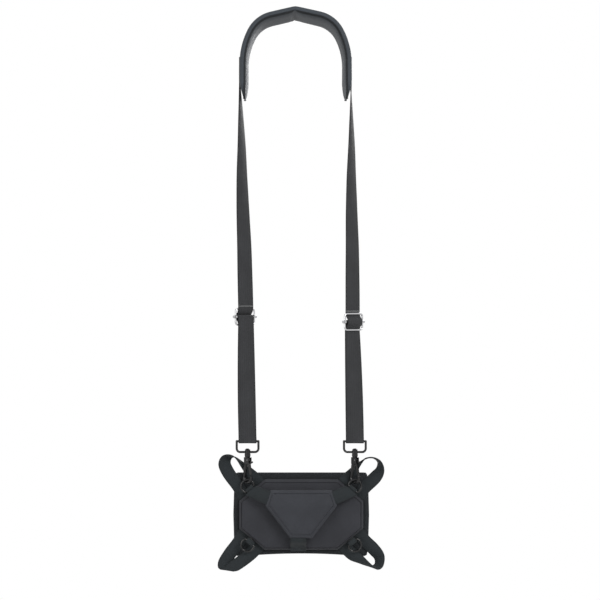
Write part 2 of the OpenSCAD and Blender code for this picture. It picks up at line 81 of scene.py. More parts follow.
# %% Camera
VIEW_DISTANCE = 1.7
VIEW_WIDTH = 0.834
VIEW_MIDDLE = (0.0063, -0.3947)
camera_data = bpy.data.cameras.new("camera")
camera_data.sensor_width = 36.0
camera_data.lens = 36.0 * VIEW_DISTANCE / VIEW_WIDTH
camera = bpy.data.objects.new("camera", camera_data)
scene.collection.objects.link(camera)
camera.location = (VIEW_MIDDLE[0], -VIEW_DISTANCE, VIEW_MIDDLE[1])
camera.rotation_euler = (math.pi / 2, 0, 0)
scene.camera = camera

# %% [markdown]
# ## Finishes
# Two shader node groups carry the detail. "cloth_grain" gives a fine crossed weave and slow colour
# variation from Object coordinates, so it needs no UV map. "rib_weave" reads a UV map in metres, across
# and along a strip, and draws slanted yarns that change direction in columns, as in woven webbing.

# %% Node helpers
def new_group(name, inputs, outputs):
    group = bpy.data.node_groups.new(name, "ShaderNodeTree")
    for label, kind, value in inputs:
        socket = group.interface.new_socket(name=label, in_out="INPUT", socket_type=kind)
        if value is not None:
            socket.default_value = value
    for label, kind in outputs:
        group.interface.new_socket(name=label, in_out="OUTPUT", socket_type=kind)
    return group


def add(tree, kind, x=0, y=0, **settings):
    node = tree.nodes.new(kind)
    node.location = (x, y)
    for key, value in settings.items():
        setattr(node, key, value)
    return node


def maths(tree, operation, a, b=None, c=None):
    node = add(tree, "ShaderNodeMath", operation=operation)
    for index, value in enumerate((a, b, c)):
        if value is None:
            continue
        if isinstance(value, (int, float)):
            node.inputs[index].default_value = value
        else:
            tree.links.new(value, node.inputs[index])
    return node.outputs[0]


# %% Cloth grain group
def build_cloth_grain():
    group = new_group("cloth_grain",
                      [("Vector", "NodeSocketVector", None), ("Threads", "NodeSocketFloat", 900.0),
                       ("Patch", "NodeSocketFloat", 25.0)],
                      [("Height", "NodeSocketFloat"), ("Shade", "NodeSocketFloat")])
    source = add(group, "NodeGroupInput", -800)
    sink = add(group, "NodeGroupOutput", 600)
    axes = add(group, "ShaderNodeSeparateXYZ", -600)
    group.links.new(source.outputs["Vector"], axes.inputs[0])
    waves = []
    for a, b in ((0, 1), (2, 1)):
        along = maths(group, "ADD", axes.outputs[a], maths(group, "MULTIPLY", axes.outputs[b], 0.35))
        phase = maths(group, "MULTIPLY", along, source.outputs["Threads"])
        waves.append(maths(group, "SINE", phase))
    weave = maths(group, "MULTIPLY", waves[0], waves[1])
    fine = add(group, "ShaderNodeTexNoise", -400, -300)
    fine.inputs["Scale"].default_value = 420.0
    fine.inputs["Detail"].default_value = 3.0
    group.links.new(source.outputs["Vector"], fine.inputs["Vector"])
    height = maths(group, "ADD", maths(group, "MULTIPLY", weave, 0.5), fine.outputs["Fac"])
    group.links.new(height, sink.inputs["Height"])
    slow = add(group, "ShaderNodeTexNoise", -400, -600)
    slow.inputs["Detail"].default_value = 4.0
    group.links.new(source.outputs["Vector"], slow.inputs["Vector"])
    group.links.new(source.outputs["Patch"], slow.inputs["Scale"])
    shade = maths(group, "ADD", maths(group, "MULTIPLY", slow.outputs["Fac"], 0.7),
                  maths(group, "MULTIPLY", height, 0.22))
    group.links.new(shade, sink.inputs["Shade"])
    return group


# %% Rib weave group
def build_rib_weave():
    group = new_group("rib_weave",
                      [("Vector", "NodeSocketVector", None), ("Columns", "NodeSocketFloat", 8.0),
                       ("Width", "NodeSocketFloat", 0.025), ("Pitch", "NodeSocketFloat", 1100.0),
                       ("Slant", "NodeSocketFloat", 0.8)],
                      [("Height", "NodeSocketFloat"), ("Shade", "NodeSocketFloat"),
                       ("Edge", "NodeSocketFloat")])
    source = add(group, "NodeGroupInput", -900)
    sink = add(group, "NodeGroupOutput", 700)
    axes = add(group, "ShaderNodeSeparateXYZ", -700)
    group.links.new(source.outputs["Vector"], axes.inputs[0])
    across, along = axes.outputs[0], axes.outputs[1]
    share = maths(group, "DIVIDE", across, source.outputs["Width"])
    column = maths(group, "MULTIPLY", share, source.outputs["Columns"])
    zigzag = maths(group, "PINGPONG", column, 1.0)
    slant = maths(group, "MULTIPLY", zigzag, source.outputs["Slant"])
    phase = maths(group, "ADD", maths(group, "MULTIPLY", along, source.outputs["Pitch"]),
                  maths(group, "MULTIPLY", slant, 6.28))
    yarn = maths(group, "SINE", phase)
    gutter = maths(group, "PINGPONG", column, 0.5)
    height = maths(group, "ADD", maths(group, "MULTIPLY", yarn, 0.5),
                   maths(group, "MULTIPLY", gutter, 0.8))
    group.links.new(height, sink.inputs["Height"])
    edge = maths(group, "GREATER_THAN", maths(group, "ABSOLUTE", maths(group, "SUBTRACT", share, 0.5)),
                 0.44)
    group.links.new(edge, sink.inputs["Edge"])
    slow = add(group, "ShaderNodeTexNoise", -500, -500)
    slow.inputs["Scale"].default_value = 30.0
    slow.inputs["Detail"].default_value = 4.0
    group.links.new(source.outputs["Vector"], slow.inputs["Vector"])
    shade = maths(group, "ADD", maths(group, "MULTIPLY", slow.outputs["Fac"], 0.6),
                  maths(group, "MULTIPLY", height, 0.3))
    group.links.new(shade, sink.inputs["Shade"])
    return group


# %% Metal wear group
def build_metal_wear():
    group = new_group("metal_wear", [("Vector", "NodeSocketVector", None)],
                      [("Roughness", "NodeSocketFloat"), ("Height", "NodeSocketFloat"),
                       ("Wear", "NodeSocketFloat")])
    source = add(group, "NodeGroupInput", -800)
    sink = add(group, "NodeGroupOutput", 600)
    smear = add(group, "ShaderNodeTexNoise", -500)
    smear.inputs["Scale"].default_value = 160.0
    smear.inputs["Detail"].default_value = 5.0
    pits = add(group, "ShaderNodeTexNoise", -500, -300)
    pits.inputs["Scale"].default_value = 900.0
    for node in (smear, pits):
        group.links.new(source.outputs["Vector"], node.inputs["Vector"])
    group.links.new(maths(group, "MULTIPLY_ADD", smear.outputs["Fac"], 0.22, 0.08),
                    sink.inputs["Roughness"])
    group.links.new(pits.outputs["Fac"], sink.inputs["Height"])
    group.links.new(maths(group, "GREATER_THAN", smear.outputs["Fac"], 0.64), sink.inputs["Wear"])
    return group


cloth_grain = build_cloth_grain()
rib_weave = build_rib_weave()
metal_wear = build_metal_wear()


# %% Material makers
def start_material(name):
    material = bpy.data.materials.new(name)
    material.use_nodes = True
    tree = material.node_tree
    shader = tree.nodes["Principled BSDF"]
    coords = add(tree, "ShaderNodeTexCoord", -900)
    return material, tree, shader, coords


def place_group(tree, group, vector, **values):
    node = add(tree, "ShaderNodeGroup", -600)
    node.node_tree = group
    tree.links.new(vector, node.inputs["Vector"])
    for key, value in values.items():
        node.inputs[key].default_value = value
    return node


def two_tones(tree, mask, dark, light):
    ramp = add(tree, "ShaderNodeValToRGB", -300, 200)
    ramp.color_ramp.elements[0].color = (*dark, 1)
    ramp.color_ramp.elements[0].position = 0.2
    ramp.color_ramp.elements[1].color = (*light, 1)
    ramp.color_ramp.elements[1].position = 0.85
    tree.links.new(mask, ramp.inputs["Fac"])
    return ramp.outputs["Color"]


def bump(tree, height, shader, strength, distance):
    node = add(tree, "ShaderNodeBump", -200, -300)
    node.inputs["Strength"].default_value = strength
    node.inputs["Distance"].default_value = distance
    tree.links.new(height, node.inputs["Height"])
    tree.links.new(node.outputs["Normal"], shader.inputs["Normal"])


def scaled(colour, factor):
    return tuple(min(1.0, c * factor) for c in colour)


def cloth(name, colour, threads=2600.0, patch=25.0, rough=0.85, sheen=0.06, depth=0.0003):
    material, tree, shader, coords = start_material(name)
    grain = place_group(tree, cloth_grain, coords.outputs["Object"], Threads=threads, Patch=patch)
    tone = two_tones(tree, grain.outputs["Shade"], scaled(colour, 0.7), scaled(colour, 1.3))
    tree.links.new(tone, shader.inputs["Base Color"])
    bump(tree, grain.outputs["Height"], shader, 0.5, depth)
    shader.inputs["Roughness"].default_value = rough
    shader.inputs["Sheen Weight"].default_value = sheen
    shader.inputs["Specular IOR Level"].default_value = 0.3
    return material


def strip_cloth(name, colour, width, columns, pitch, slant, edge_dark=0.45):
    material, tree, shader, coords = start_material(name)
    weave = place_group(tree, rib_weave, coords.outputs["UV"], Columns=columns, Width=width,
                        Pitch=pitch, Slant=slant)
    tone = two_tones(tree, weave.outputs["Shade"], scaled(colour, 0.6), scaled(colour, 1.45))
    mix = add(tree, "ShaderNodeMix", -100, 200, data_type="RGBA")
    mix.inputs["B"].default_value = (*scaled(colour, edge_dark), 1)
    tree.links.new(weave.outputs["Edge"], mix.inputs["Factor"])
    tree.links.new(tone, mix.inputs["A"])
    tree.links.new(mix.outputs["Result"], shader.inputs["Base Color"])
    bump(tree, weave.outputs["Height"], shader, 0.6, 0.0004)
    shader.inputs["Roughness"].default_value = 0.78
    shader.inputs["Sheen Weight"].default_value = 0.05
    shader.inputs["Specular IOR Level"].default_value = 0.35
    return material


def metal(name, colour, worn, metallic=1.0, coat=0.0):
    material, tree, shader, coords = start_material(name)
    wear = place_group(tree, metal_wear, coords.outputs["Object"])
    mix = add(tree, "ShaderNodeMix", -100, 200, data_type="RGBA")
    mix.inputs["A"].default_value = (*colour, 1)
    mix.inputs["B"].default_value = (*worn, 1)
    tree.links.new(wear.outputs["Wear"], mix.inputs["Factor"])
    tree.links.new(mix.outputs["Result"], shader.inputs["Base Color"])
    tree.links.new(wear.outputs["Roughness"], shader.inputs["Roughness"])
    bump(tree, wear.outputs["Height"], shader, 0.15, 0.0001)
    shader.inputs["Metallic"].default_value = metallic
    shader.inputs["Coat Weight"].default_value = coat
    shader.inputs["Coat Roughness"].default_value = 0.08
    shader.inputs["Specular IOR Level"].default_value = 0.5 if metallic else 0.25
    return material


# %% The finishes
collar_cloth = cloth("collar_cloth", (0.034, 0.041, 0.05), threads=9000, rough=0.6, depth=0.0001)
panel_cloth = cloth("panel_cloth", (0.03, 0.031, 0.037), threads=7800, rough=0.8)
hand_cloth = cloth("hand_cloth", (0.033, 0.035, 0.042), threads=7000, rough=0.78)
grip_cloth = cloth("grip_cloth", (0.016, 0.017, 0.019), threads=1500, rough=0.6, sheen=0.0,
                   depth=0.0008)
foam_cloth = cloth("foam_cloth", (0.16, 0.16, 0.17), threads=900, rough=0.95)
thread = cloth("thread", (0.012, 0.014, 0.016), threads=6000, rough=0.6)
webbing = strip_cloth("webbing", (0.032, 0.033, 0.036), 0.025, 8, 5200, 0.8)
elastic = strip_cloth("elastic", (0.014, 0.019, 0.022), 0.018, 24, 5200, 0.15, 0.6)
binding = strip_cloth("binding", (0.012, 0.015, 0.018), 0.012, 10, 5200, 0.1, 0.7)
nickel = metal("nickel", (0.5, 0.5, 0.51), (0.38, 0.38, 0.38))
black_metal = metal("black_metal", (0.004, 0.004, 0.0045), (0.012, 0.012, 0.013), 0.0, 0.3)
steel = metal("steel", (0.3, 0.3, 0.31), (0.2, 0.2, 0.2))
board_plastic = cloth("board_plastic", (0.09, 0.09, 0.09), threads=300, rough=0.5, sheen=0.0)

# %% [markdown]
# ## Hard parts keep their meshes
# The wire frames, hooks, gates, pins and rings were built at their true shape, so each only takes a
# finish in its material slot.

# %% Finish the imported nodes
FINISH = {"nickel": nickel, "black_metal": black_metal, "steel": steel, "foam": foam_cloth,
          "board": board_plastic, "grip_lining": grip_cloth, "panel_fabric": panel_cloth,
          "collar_fabric": collar_cloth, "binding": thread, "elastic": thread, "webbing": thread}
for part in frame["record"]["subparts"]:
    node = frame["nodes"][part["node"]]
    node.data.materials.clear()
    node.data.materials.append(FINISH[part["material_slot"]])


# %% [markdown]
# ## Strips
# Webbing, tape and elastic are all one idea: a thin section swept through stations. A station is a
# centre and a width direction, so a strip may bend, fold and twist. The section has rounded edges, and
# the UV map is in metres, so the weave keeps its size however long the strip is.

# %% Strip maker
def smooth_path(stations, steps):
    """Catmull-Rom through given stations; each is (centre, width direction)."""
    out = []
    last = len(stations) - 1
    for i in range(last):
        four = [stations[max(i - 1, 0)], stations[i], stations[i + 1], stations[min(i + 2, last)]]
        for j in range(steps):
            t = j / steps
            pair = []
            for q in (0, 1):
                a, b, c, d = (Vector(s[q]) for s in four)
                pair.append(0.5 * ((2 * b) + (c - a) * t + (2 * a - 5 * b + 4 * c - d) * t * t
                                   + (3 * b - a - 3 * c + d) * t ** 3))
            out.append(tuple(pair))
    out.append((Vector(stations[last][0]), Vector(stations[last][1])))
    return out


def make_mesh(name, verts, faces, uvs, material):
    mesh = bpy.data.meshes.new(name)
    mesh.from_pydata([tuple(v) for v in verts], [], faces)
    layer = mesh.uv_layers.new(name="UVMap")
    if uvs:
        for loop in mesh.loops:
            layer.data[loop.index].uv = uvs[loop.vertex_index]
    mesh.materials.append(material)
    mesh.validate()
    obj = bpy.data.objects.new(name, mesh)
    scene.collection.objects.link(obj)
    bpy.ops.object.select_all(action="DESELECT")
    obj.select_set(True)
    bpy.context.view_layer.objects.active = obj
    bpy.ops.object.mode_set(mode="EDIT")
    bpy.ops.mesh.select_all(action="SELECT")
    bpy.ops.mesh.normals_make_consistent(inside=False)
    bpy.ops.object.mode_set(mode="OBJECT")
    bpy.ops.object.shade_smooth_by_angle(angle=math.radians(50))
    return obj


def strip(name, path, width, thick, material, ripple=0.0):
    half_w, half_t = width / 2, thick / 2
    bead = half_t * 0.9
    section = [(-half_w + bead, -half_t), (0, -half_t * 0.86), (half_w - bead, -half_t),
               (half_w, 0), (half_w - bead, half_t), (0, half_t * 0.86), (-half_w + bead, half_t),
               (-half_w, 0)]
    verts, uvs, faces = [], [], []
    along = 0.0
    count = len(section)
    for i, (centre, across) in enumerate(path):
        ahead = path[min(i + 1, len(path) - 1)][0] - path[max(i - 1, 0)][0]
        across = across.normalized()
        out = across.cross(ahead.normalized()).normalized()
        if i:
            along += (centre - path[i - 1][0]).length
        wave = ripple * math.sin(along * 70) * math.sin(along * 23 + 1)
        for a, b in section:
            verts.append(centre + across * a + out * (b + wave))
            uvs.append((a + half_w, along))
    for i in range(len(path) - 1):
        for k in range(count):
            a, b = i * count + k, i * count + (k + 1) % count
            faces.append((a, b, b + count, a + count))
    faces.append(tuple(range(count - 1, -1, -1)))
    faces.append(tuple(range(len(verts) - count, len(verts))))
    return make_mesh(name, verts, faces, uvs, material)


# %% [markdown]
# ## Places taken from the frame
# Everything below hangs on a few places of the imported nodes: the sliders, the hooks' top bars and the
# panel. They are read from the nodes' boxes. The collar's radii and the panel's outline are written here
# as fixed sizes, so those two don't follow a changed model.

# %% Key places
def middle(node):
    low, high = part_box(node)
    return (Vector(low) + Vector(high)) / 2


MM = 0.001
SIDES = {"left": -1, "right": 1}
slider_at = {n: middle(n + "_slider_frame") for n in SIDES}
hook_at = {n: middle(n + "_hook_loop") for n in SIDES}
hook_bar_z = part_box("left_hook_loop")[1][2] - 1.6 * MM
panel_mid = middle("panel_binding")
panel_low, panel_high = (Vector(v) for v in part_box("panel_binding"))
front_low = Vector(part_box("panel_front_cover")[0])
base_y = panel_low.y
print("panel middle", tuple(round(v, 4) for v in panel_mid), "base", round(base_y, 4))

# %% [markdown]
# ## Shoulder webbing, upper runs
# Each run is sewn flat on the collar's side, edge on to the viewer, and turns about a quarter turn on
# its way down, because the hooks below hold it facing front. The turn is quick at first, then slows.

# %% Upper runs
WEB_W = 25 * MM
WEB_T = 1.3 * MM
TURN = math.radians(35)
SLIDER_HALF = 12.5 * MM
WIRE_R = 1.3 * MM
BACK = WIRE_R + 0.6 * MM + 0.2 * MM
exit_z = -97.5 * MM


def width_dir(turn):
    return Vector((math.cos(turn), math.sin(turn), 0))


def face_dir(turn):
    return Vector((math.sin(turn), -math.cos(turn), 0))


collar_high = Vector(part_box("collar_cover")[1])
seam_x = {n: s * (collar_high.x + 0.9 * MM) for n, s in SIDES.items()}


def upper_path(name):
    side = SIDES[name]
    slider = slider_at[name]
    end = slider + Vector((0, 0, SLIDER_HALF + 2.5 * MM)) - face_dir(TURN) * side * BACK
    path = [(Vector((seam_x[name], 0, exit_z + z * MM)), width_dir(math.pi / 2))
            for z in range(38, 0, -4)]
    steps = 60
    for i in range(steps + 1):
        t = i / steps
        turn = math.pi / 2 - (math.pi / 2 - TURN) * math.sin(math.pi / 2 * t)
        start = Vector((seam_x[name], 0, exit_z))
        sway = 0.5 * MM * math.sin(t * math.pi * 3) * math.sin(t * math.pi)
        path.append((start.lerp(end, t) + Vector((sway, 0, 0)), width_dir(turn)))
    return path


for name in SIDES:
    run = strip(name + "_upper_webbing", upper_path(name), WEB_W, WEB_T, webbing, 0.15 * MM)
    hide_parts(name + "_upper_strap")
    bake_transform(run)

# %% [markdown]
# ## Shoulder webbing, lower runs
# The webbing dips behind the slider's top bar, over its centre bar and behind the bottom bar, runs to
# the hook's loop, folds round it and comes back up to be sewn round the centre bar. It is one strip.

# %% Lower runs
def lower_path(name):
    side = SIDES[name]
    slider, hook = slider_at[name], hook_at[name]
    bar = SLIDER_HALF - WIRE_R
    low_end = hook_bar_z

    def at(z, off):
        t = min(1, max(0, (slider.z - bar - z) / (slider.z - bar - low_end)))
        turn = TURN * (1 - t)
        x = slider.x * (1 - t) + hook.x * t
        return (Vector((x, 0, z)) + face_dir(turn) * side * off, width_dir(turn))

    zs = slider.z
    wrap, over = WIRE_R + 0.75 * MM, WIRE_R + 2.15 * MM
    path = [at(zs + bar + 3.6 * MM, -BACK), at(zs + bar, -BACK), at(zs + bar * 0.6, -0.3 * MM),
            at(zs + 3 * MM, over * 0.86), at(zs, over), at(zs - 3 * MM, over * 0.86),
            at(zs - bar * 0.6, -0.3 * MM), at(zs - bar, -BACK), at(zs - bar - 4 * MM, -BACK)]
    ply = 0.8 * MM
    fold = 2.4 * MM
    for i in range(1, 15):
        t = i / 14
        path.append(at((zs - bar - 4 * MM) * (1 - t) + (low_end + 8 * MM) * t,
                       -BACK * (1 - t) + ply * t))
    for degrees in range(0, 181, 20):
        a = math.radians(degrees)
        path.append(at(low_end - fold * math.sin(a), fold * math.cos(a)))
    inner = -(BACK + 1.4 * MM)
    for i in range(15):
        t = i / 14
        path.append(at((low_end + 8 * MM) * (1 - t) + (zs - bar - 4 * MM) * t,
                       -ply * (1 - t) + inner * t))
    path += [at(zs - bar, inner), at(zs - bar * 0.6, inner + 0.6 * MM)]
    for degrees in range(-20, 181, 25):
        a = math.radians(degrees)
        path.append(at(zs + wrap * math.sin(a), -wrap * math.cos(a)))
    return smooth_path(path, 2)


for name in SIDES:
    run = strip(name + "_lower_webbing", lower_path(name), WEB_W, 1.2 * MM, webbing)
    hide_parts(name + "_lower_strap")
    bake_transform(run)

# %% [markdown]
# ## Collar
# The collar is a long pad bent over the neck: two halves meet in a crease at the crown. Its section is
# a soft pillow between taped edges, swept along straight runs and arcs, and the crease pulls it in.

# %% Collar path
CROWN = math.radians(13)
COLLAR_T = 8 * MM
COLLAR_W = 60 * MM
CROWN_RUN = 35 * MM
SHOULDER_R = 47 * MM
SIDE_R = 100 * MM
SHOULDER_TURN = math.radians(50)


def collar_half(depth):
    """(x, z, slope) down one side, at a depth in from the outer face: straight, two bends, tail."""
    points = []
    top = COLLAR_T / math.cos(CROWN)
    for i in range(6):
        s = CROWN_RUN * i / 6
        points.append((s * math.cos(CROWN), top - s * math.sin(CROWN), CROWN))
    px, pz = CROWN_RUN * math.cos(CROWN), top - CROWN_RUN * math.sin(CROWN)
    cx, cz = px - SHOULDER_R * math.sin(CROWN), pz - SHOULDER_R * math.cos(CROWN)
    bend = CROWN + SHOULDER_TURN
    for i in range(13):
        a = CROWN + (bend - CROWN) * i / 12
        points.append((cx + SHOULDER_R * math.sin(a), cz + SHOULDER_R * math.cos(a), a))
    shift = SIDE_R - SHOULDER_R
    cx, cz = cx - shift * math.sin(bend), cz - shift * math.cos(bend)
    for i in range(1, 11):
        a = bend + (math.pi / 2 - bend) * i / 10
        points.append((cx + SIDE_R * math.sin(a), cz + SIDE_R * math.cos(a), a))
    x, z = points[-1][0], points[-1][1]
    for i in range(1, 25):
        points.append((x, z - tail_length * math.sin(math.pi / 2 * i / 24), math.pi / 2))
    return [(a - depth * math.sin(s), b - depth * math.cos(s), s) for a, b, s in points]


tail_length = 47 * MM
collar_outer = collar_half(0)


def collar_section(share, crease):
    """(across, depth) round the pad's section; share is 0 at the crown and 1 at the tip."""
    tip = max(0.0, (share - 0.86) / 0.14)
    half = COLLAR_W / 2 * max(0.12, 1 - tip ** 2.6) ** 0.5
    outer = 4.4 * MM * tip ** 1.5
    inner = COLLAR_T + 0.8 * MM - 1.8 * MM * tip ** 2
    puff = 2.4 * MM * (1 - 0.8 * crease) * (1 - tip)
    points = []
    count = 14
    for i in range(count + 1):
        u = -1 + 2 * i / count
        points.append((u * half * 0.94, outer + 0.6 * MM - puff * 0.5 * (1 - u ** 4) * (1 - crease)))
    points.append((half, outer + 2.0 * MM))
    points.append((half, inner - 2.0 * MM))
    for i in range(count + 1):
        u = 1 - 2 * i / count
        points.append((u * half * 0.94, inner - 0.6 * MM + puff * (1 - u ** 4) - 1.6 * MM * crease))
    points.append((-half, inner - 2.0 * MM))
    points.append((-half, outer + 2.0 * MM))
    return points


# %% Collar mesh
def collar_ring(point, side, share, crease):
    x, z, slope = point
    twist = math.radians(7) * share if side > 0 else math.radians(2) * share
    ring = []
    for across, depth in collar_section(share, crease):
        inward = Vector((-side * math.sin(slope), 0, -math.cos(slope)))
        lean = depth + across * math.sin(twist) * 0.5
        ring.append(Vector((side * x, across, z)) + inward * lean)
    return ring


def build_collar():
    rings = []
    count = len(collar_outer)
    lengths = [0.0]
    for a, b in zip(collar_outer, collar_outer[1:]):
        lengths.append(lengths[-1] + math.hypot(b[0] - a[0], b[1] - a[1]))
    for side in (-1, 1):
        order = range(count - 1, 0, -1) if side < 0 else range(count)
        for i in order:
            share = lengths[i] / lengths[-1]
            crease = math.exp(-(lengths[i] / (5 * MM)) ** 2)
            rings.append(collar_ring(collar_outer[i], side, share, crease))
    verts = [v for ring in rings for v in ring]
    size = len(rings[0])
    faces = []
    for i in range(len(rings) - 1):
        for k in range(size):
            a, b = i * size + k, i * size + (k + 1) % size
            faces.append((a, b, b + size, a + size))
    faces.append(tuple(range(size - 1, -1, -1)))
    faces.append(tuple(range(len(verts) - size, len(verts))))
    uvs = [(v.y, v.x) for v in verts]
    return make_mesh("collar_pad", verts, faces, uvs, collar_cloth), rings


collar_pad, collar_rings = build_collar()
level = collar_pad.modifiers.new("round", "SUBSURF")
level.levels = level.render_levels = 1
bpy.ops.object.modifier_apply(modifier="round")
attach(collar_pad, "root")
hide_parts("collar_cover", "collar_foam", "collar_lining")
print("collar faces", len(collar_pad.data.polygons))


# %% [markdown]
# ## Collar binding
# A ribbed tape is folded over each long edge. It is a half-round section that grips the pad's edge, a
# little wider than the pad is thick.

# %% Collar tape
def tube_along(name, points, outs, ups, half_a, half_b, material, sides=10):
    """A closed oval tube; outs and ups give the section's two directions at each point."""
    verts, uvs, faces = [], [], []
    along = 0.0
    for i, (p, o, u) in enumerate(zip(points, outs, ups)):
        if i:
            along += (p - points[i - 1]).length
        for k in range(sides):
            a = 2 * math.pi * k / sides
            verts.append(p + o * half_a * math.cos(a) + u * half_b * math.sin(a))
            uvs.append((0.012 * k / sides, along))
    for i in range(len(points) - 1):
        for k in range(sides):
            a, b = i * sides + k, i * sides + (k + 1) % sides
            faces.append((a, b, b + sides, a + sides))
    faces.append(tuple(range(sides - 1, -1, -1)))
    faces.append(tuple(range(len(verts) - sides, len(verts))))
    return make_mesh(name, verts, faces, uvs, material)


def collar_tape(name, edge, node):
    points, outs, ups = [], [], []
    for ring in collar_rings:
        a, b = ring[15 if edge > 0 else 32], ring[16 if edge > 0 else 31]
        points.append((a + b) / 2 - Vector((0, edge * 1.2 * MM, 0)))
        ups.append((b - a).normalized() * ((b - a).length / 2 + 1.1 * MM))
        outs.append(Vector((0, 1, 0)))
    obj = tube_along(name, points, outs, ups, 1.6 * MM, 1.0, binding)
    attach(obj, "root")
    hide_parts(node)
    return obj


collar_tape("collar_front_tape", -1, "collar_front_binding")
collar_tape("collar_back_tape", 1, "collar_back_binding")


# %% [markdown]
# ## Pads from an outline
# The panel's front and the hand pad are both pillows cut to an outline. The outline is sampled with
# rounded corners, then drawn in ring by ring, with a height that rises steeply at the edge and gently
# in the middle. A groove ring makes the sewn line near the edge.

# %% Pad maker
def rounded_outline(corners, radius, step):
    """Points round a closed outline whose corners are arcs, in (x, z)."""
    out = []
    count = len(corners)
    for i in range(count):
        p, q, r = (Vector(corners[(i + k) % count]) for k in (-1, 0, 1))
        into, away = (q - p).normalized(), (r - q).normalized()
        turn = into.angle(away)
        back = radius * math.tan(turn / 2)
        start, end = q - into * back, q + away * back
        steps = 5
        for j in range(steps + 1):
            t = j / steps
            out.append((1 - t) ** 2 * start + 2 * t * (1 - t) * q + t * t * end)
        after = Vector(corners[(i + 2) % count])
        following = (after - r).normalized()
        next_start = r - away * radius * math.tan(away.angle(following) / 2)
        gap = (next_start - end).length
        pieces = max(2, int(gap / step))
        out += [end.lerp(next_start, j / pieces) for j in range(1, pieces)]
    return out


def inset(loop, d):
    out = []
    count = len(loop)
    area = sum(loop[i].x * loop[(i + 1) % count].y - loop[(i + 1) % count].x * loop[i].y
               for i in range(count))
    turn = 1 if area > 0 else -1
    for i in range(count):
        tangent = (loop[(i + 1) % count] - loop[i - 1]).normalized()
        out.append(loop[i] + turn * d * Vector((-tangent.y, tangent.x)))
    return out


def pillow(name, loop, front, back, rim, crown, material, groove=4 * MM, pull=0.0):
    """A pad from outline loop (x, z), from y = back at its rim to y = front at its crown."""
    centre = sum(loop, Vector((0, 0))) / len(loop)
    rings = [(loop, back)]
    rings.append((inset(loop, -0.2 * MM), (back + front + rim) / 2))
    profile = [(0.3, 0.55), (1.0, 0.82), (2.2, 0.95), (groove / MM - 0.8, 1.0), (groove / MM, 0.84),
               (groove / MM + 0.8, 1.0)]
    rim_y = front + rim
    for d, share in profile:
        rings.append((inset(loop, d * MM), back + (rim_y - back) * share))
    inner = inset(loop, groove + 1.2 * MM)
    steps = 9
    for i in range(1, steps):
        t = i / steps
        rise = 1 - (1 - t) ** 2
        ring = [p.lerp(centre, t) for p in inner]
        level_y = rim_y - crown * rise
        rings.append((ring, level_y))
    verts = []
    for ring, y in rings:
        for p in ring:
            wobble = 0.25 * MM * math.sin(p.x * 130) * math.sin(p.y * 150 + 1.3)
            verts.append(Vector((p.x, y + (wobble if ring is not loop else 0), p.y)))
    size = len(loop)
    faces = []
    for i in range(len(rings) - 1):
        for k in range(size):
            a, b = i * size + k, i * size + (k + 1) % size
            faces.append((a, b, b + size, a + size))
    verts.append(Vector((centre.x, rings[-1][1] - 0.1 * MM, centre.y)))
    last = (len(rings) - 1) * size
    faces += [(last + k, last + (k + 1) % size, len(verts) - 1) for k in range(size)]
    verts.append(Vector((centre.x, back, centre.y)))
    faces += [((k + 1) % size, k, len(verts) - 1) for k in range(size)]
    uvs = [(v.x, v.z) for v in verts]
    return make_mesh(name, verts, faces, uvs, material)


# %% [markdown]
# ## Stitches
# A sewn line is a row of short raised threads. One thread is a stretched ball of eight corners; the
# row is one mesh, so a long seam stays light.

# %% Stitch rows
def stitch_row(name, points, normal, body, spacing=2.6 * MM, size=0.42 * MM, closed=True):
    """Threads along points, raised to the side that normal points to."""
    ends = points + [points[0]] if closed else points
    verts, faces = [], []
    carry = 0.0
    for a, b in zip(ends, ends[1:]):
        length = (b - a).length
        if length < 1e-9:
            continue
        ahead = (b - a) / length
        up = Vector(normal).normalized()
        side = ahead.cross(up).normalized()
        while carry + spacing * 0.7 <= length:
            start = a + ahead * carry
            mid = start + ahead * spacing * 0.34
            end = start + ahead * spacing * 0.68
            base = len(verts)
            verts += [start - up * size * 0.4, mid + side * size, mid + up * size * 0.9,
                      mid - side * size, mid - up * size, end - up * size * 0.4]
            for p, q in ((1, 2), (2, 3), (3, 4), (4, 1)):
                faces.append((base, base + p, base + q))
                faces.append((base + 5, base + q, base + p))
            carry += spacing
        carry = max(0.0, carry - length)
    obj = make_mesh(name, verts, faces, None, thread)
    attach(obj, body)
    return obj


# %% [markdown]
# ## Panel
# The panel is a stiff board between a padded front and a grippy back, with a folded tape all round.
# Its front is a shallow octagon: the four chamfers leave room for the rings and the elastic loops.

# %% Panel front
def panel_points(pairs):
    return [Vector((panel_mid.x + a * MM, panel_mid.z + b * MM)) for a, b in pairs]


FRONT = panel_points([(86.5, -19), (86.5, 19), (51, 49), (-51, 49), (-86.5, 19), (-86.5, -19),
                      (-51, -49), (51, -49)])
front_loop = rounded_outline(FRONT, 3 * MM, 4 * MM)
panel_front = pillow("panel_front", front_loop, front_low.y - 0.2 * MM, base_y - 0.05 * MM, 3.0 * MM,
                     2.6 * MM, panel_cloth, groove=3.4 * MM)
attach(panel_front, "panel")
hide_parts("panel_front_cover", "panel_foam")

# %% [markdown]
# ## Panel border
# Round the padded front runs a flat border: a wide tape folded over the board's edge and sewn twice.
# It is a strip-like ring with a rounded rim, so it is lofted from rings round the panel's outline.

# %% Border tape
def panel_outline(d):
    half_w, half_h = 95 - d, 58.5 - d
    right = [(half_w - 3, -half_h), (half_w - 1, -half_h * 0.6), (half_w, 0), (half_w - 1, half_h * 0.6),
             (half_w - 3, half_h)]
    left = [(-a, b) for a, b in reversed(right)]
    return panel_points(right + left)


